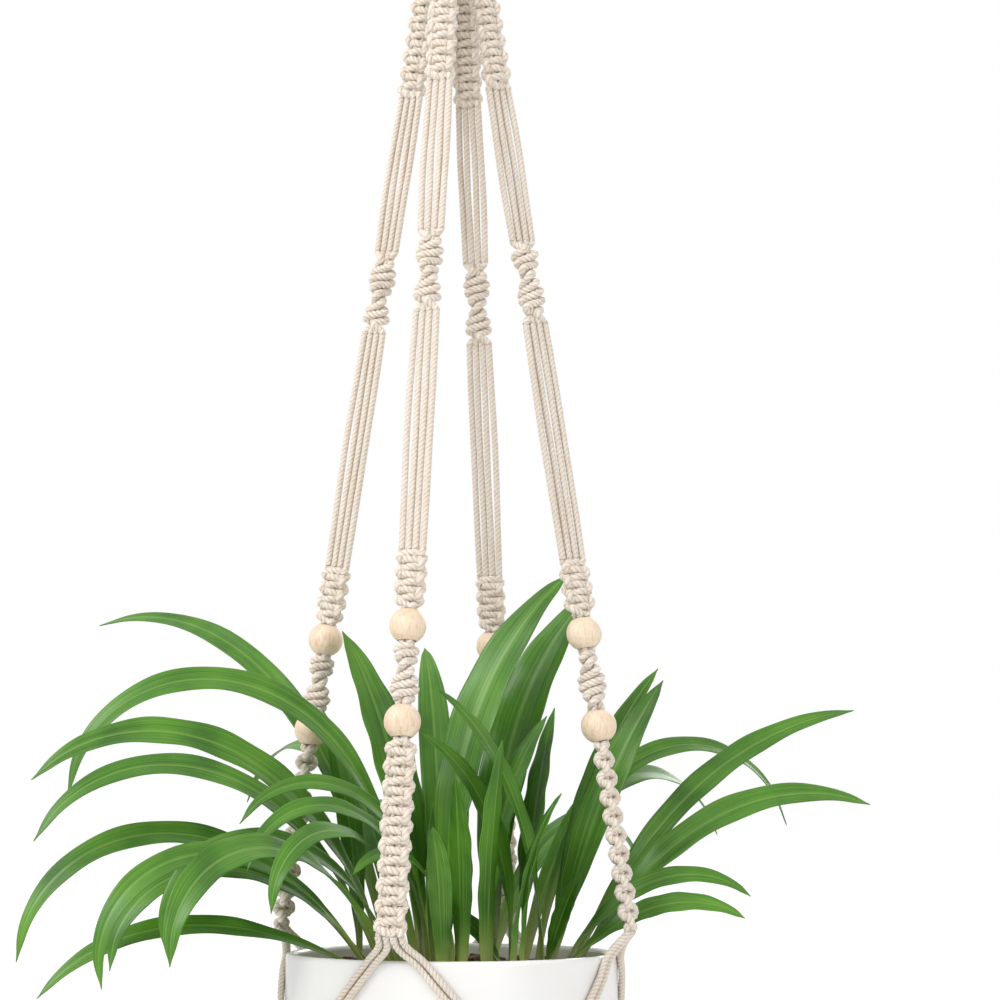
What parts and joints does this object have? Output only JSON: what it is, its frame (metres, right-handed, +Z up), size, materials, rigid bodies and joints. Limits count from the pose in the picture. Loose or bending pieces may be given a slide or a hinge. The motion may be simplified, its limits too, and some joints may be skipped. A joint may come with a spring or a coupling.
{
  "type": "hanging planter",
  "caption": "Macrame hanging planter: knotted cord arms with wooden beads join at a wooden ring and a cord net carries a round glazed pot of leafy plants over a cord tassel.",
  "frame": {"origin": "seat of the hook: the top of the wooden ring's eye, where a hook touches it", "axes": "+Z up, along the cords' line of hang; +X along the ring's width and out through the right arm; the front arm hangs towards -Y"},
  "size_m": [0.4838, 0.3821, 1.1113],
  "materials": {
    "ring_wood": "satin",
    "bead_wood": "satin",
    "cord": "matte",
    "pot_glaze": "gloss",
    "bark_soil": "matte",
    "leaf": "satin"
  },
  "bodies": {
    "ring": {"wooden_ring": "ring_wood"},
    "hanger": {"folded_cords": "cord", "top_wrap": "cord", "arm_front_top_sennit": "cord", "arm_front_upper_cords": "cord", "arm_front_upper_spiral": "cord", "arm_front_lower_cords": "cord", "arm_front_middle_sennit": "cord", "arm_front_beads": "bead_wood", "arm_front_bead_spiral": "cord", "arm_front_bottom_sennit": "cord", "arm_right_top_sennit": "cord", "arm_right_upper_cords": "cord", "arm_right_upper_spiral": "cord", "arm_right_lower_cords": "cord", "arm_right_middle_sennit": "cord", "arm_right_beads": "bead_wood", "arm_right_bead_spiral": "cord", "arm_right_bottom_sennit": "cord", "arm_back_top_sennit": "cord", "arm_back_upper_cords": "cord", "arm_back_upper_spiral": "cord", "arm_back_lower_cords": "cord", "arm_back_middle_sennit": "cord", "arm_back_beads": "bead_wood", "arm_back_bead_spiral": "cord", "arm_back_bottom_sennit": "cord", "arm_left_top_sennit": "cord", "arm_left_upper_cords": "cord", "arm_left_upper_spiral": "cord", "arm_left_lower_cords": "cord", "arm_left_middle_sennit": "cord", "arm_left_beads": "bead_wood", "arm_left_bead_spiral": "cord", "arm_left_bottom_sennit": "cord", "net_upper_cords": "cord", "net_knots": "cord", "net_lower_cords": "cord", "bottom_wrap": "cord"},
    "pot": {"pot": "pot_glaze"},
    "plant": {"soil": "bark_soil", "plant_left": "leaf", "plant_right": "leaf"},
    "tassel": {"tassel_strand_01": "cord", "tassel_strand_02": "cord", "tassel_strand_03": "cord", "tassel_strand_04": "cord", "tassel_strand_05": "cord", "tassel_strand_06": "cord", "tassel_strand_07": "cord", "tassel_strand_08": "cord", "tassel_strand_09": "cord", "tassel_strand_10": "cord", "tassel_strand_11": "cord", "tassel_strand_12": "cord", "tassel_strand_13": "cord", "tassel_strand_14": "cord", "tassel_strand_15": "cord", "tassel_strand_16": "cord"}
  },
  "joints": [
    {"name": "hanger_swing", "type": "hinge", "parent": "ring", "child": "hanger", "pos_m": [0, 0, -0.0465], "axis": [1, 0, 0], "range_deg": [-20, 20]},
    {"name": "pot_turn", "type": "hinge", "parent": "hanger", "child": "pot", "pos_m": [0, 0, -0.848], "axis": [0, 0, 1], "continuous": true, "deforming": ["plant_left", "plant_right"]},
    {"name": "plant_lift", "type": "slide", "parent": "pot", "child": "plant", "axis": [0, 0, 1], "range_m": [0, 0.05]},
    {"name": "tassel_swing", "type": "hinge", "parent": "hanger", "child": "tassel", "pos_m": [0, 0, -0.9023], "axis": [1, 0, 0], "range_deg": [-25, 25]}
  ]
}
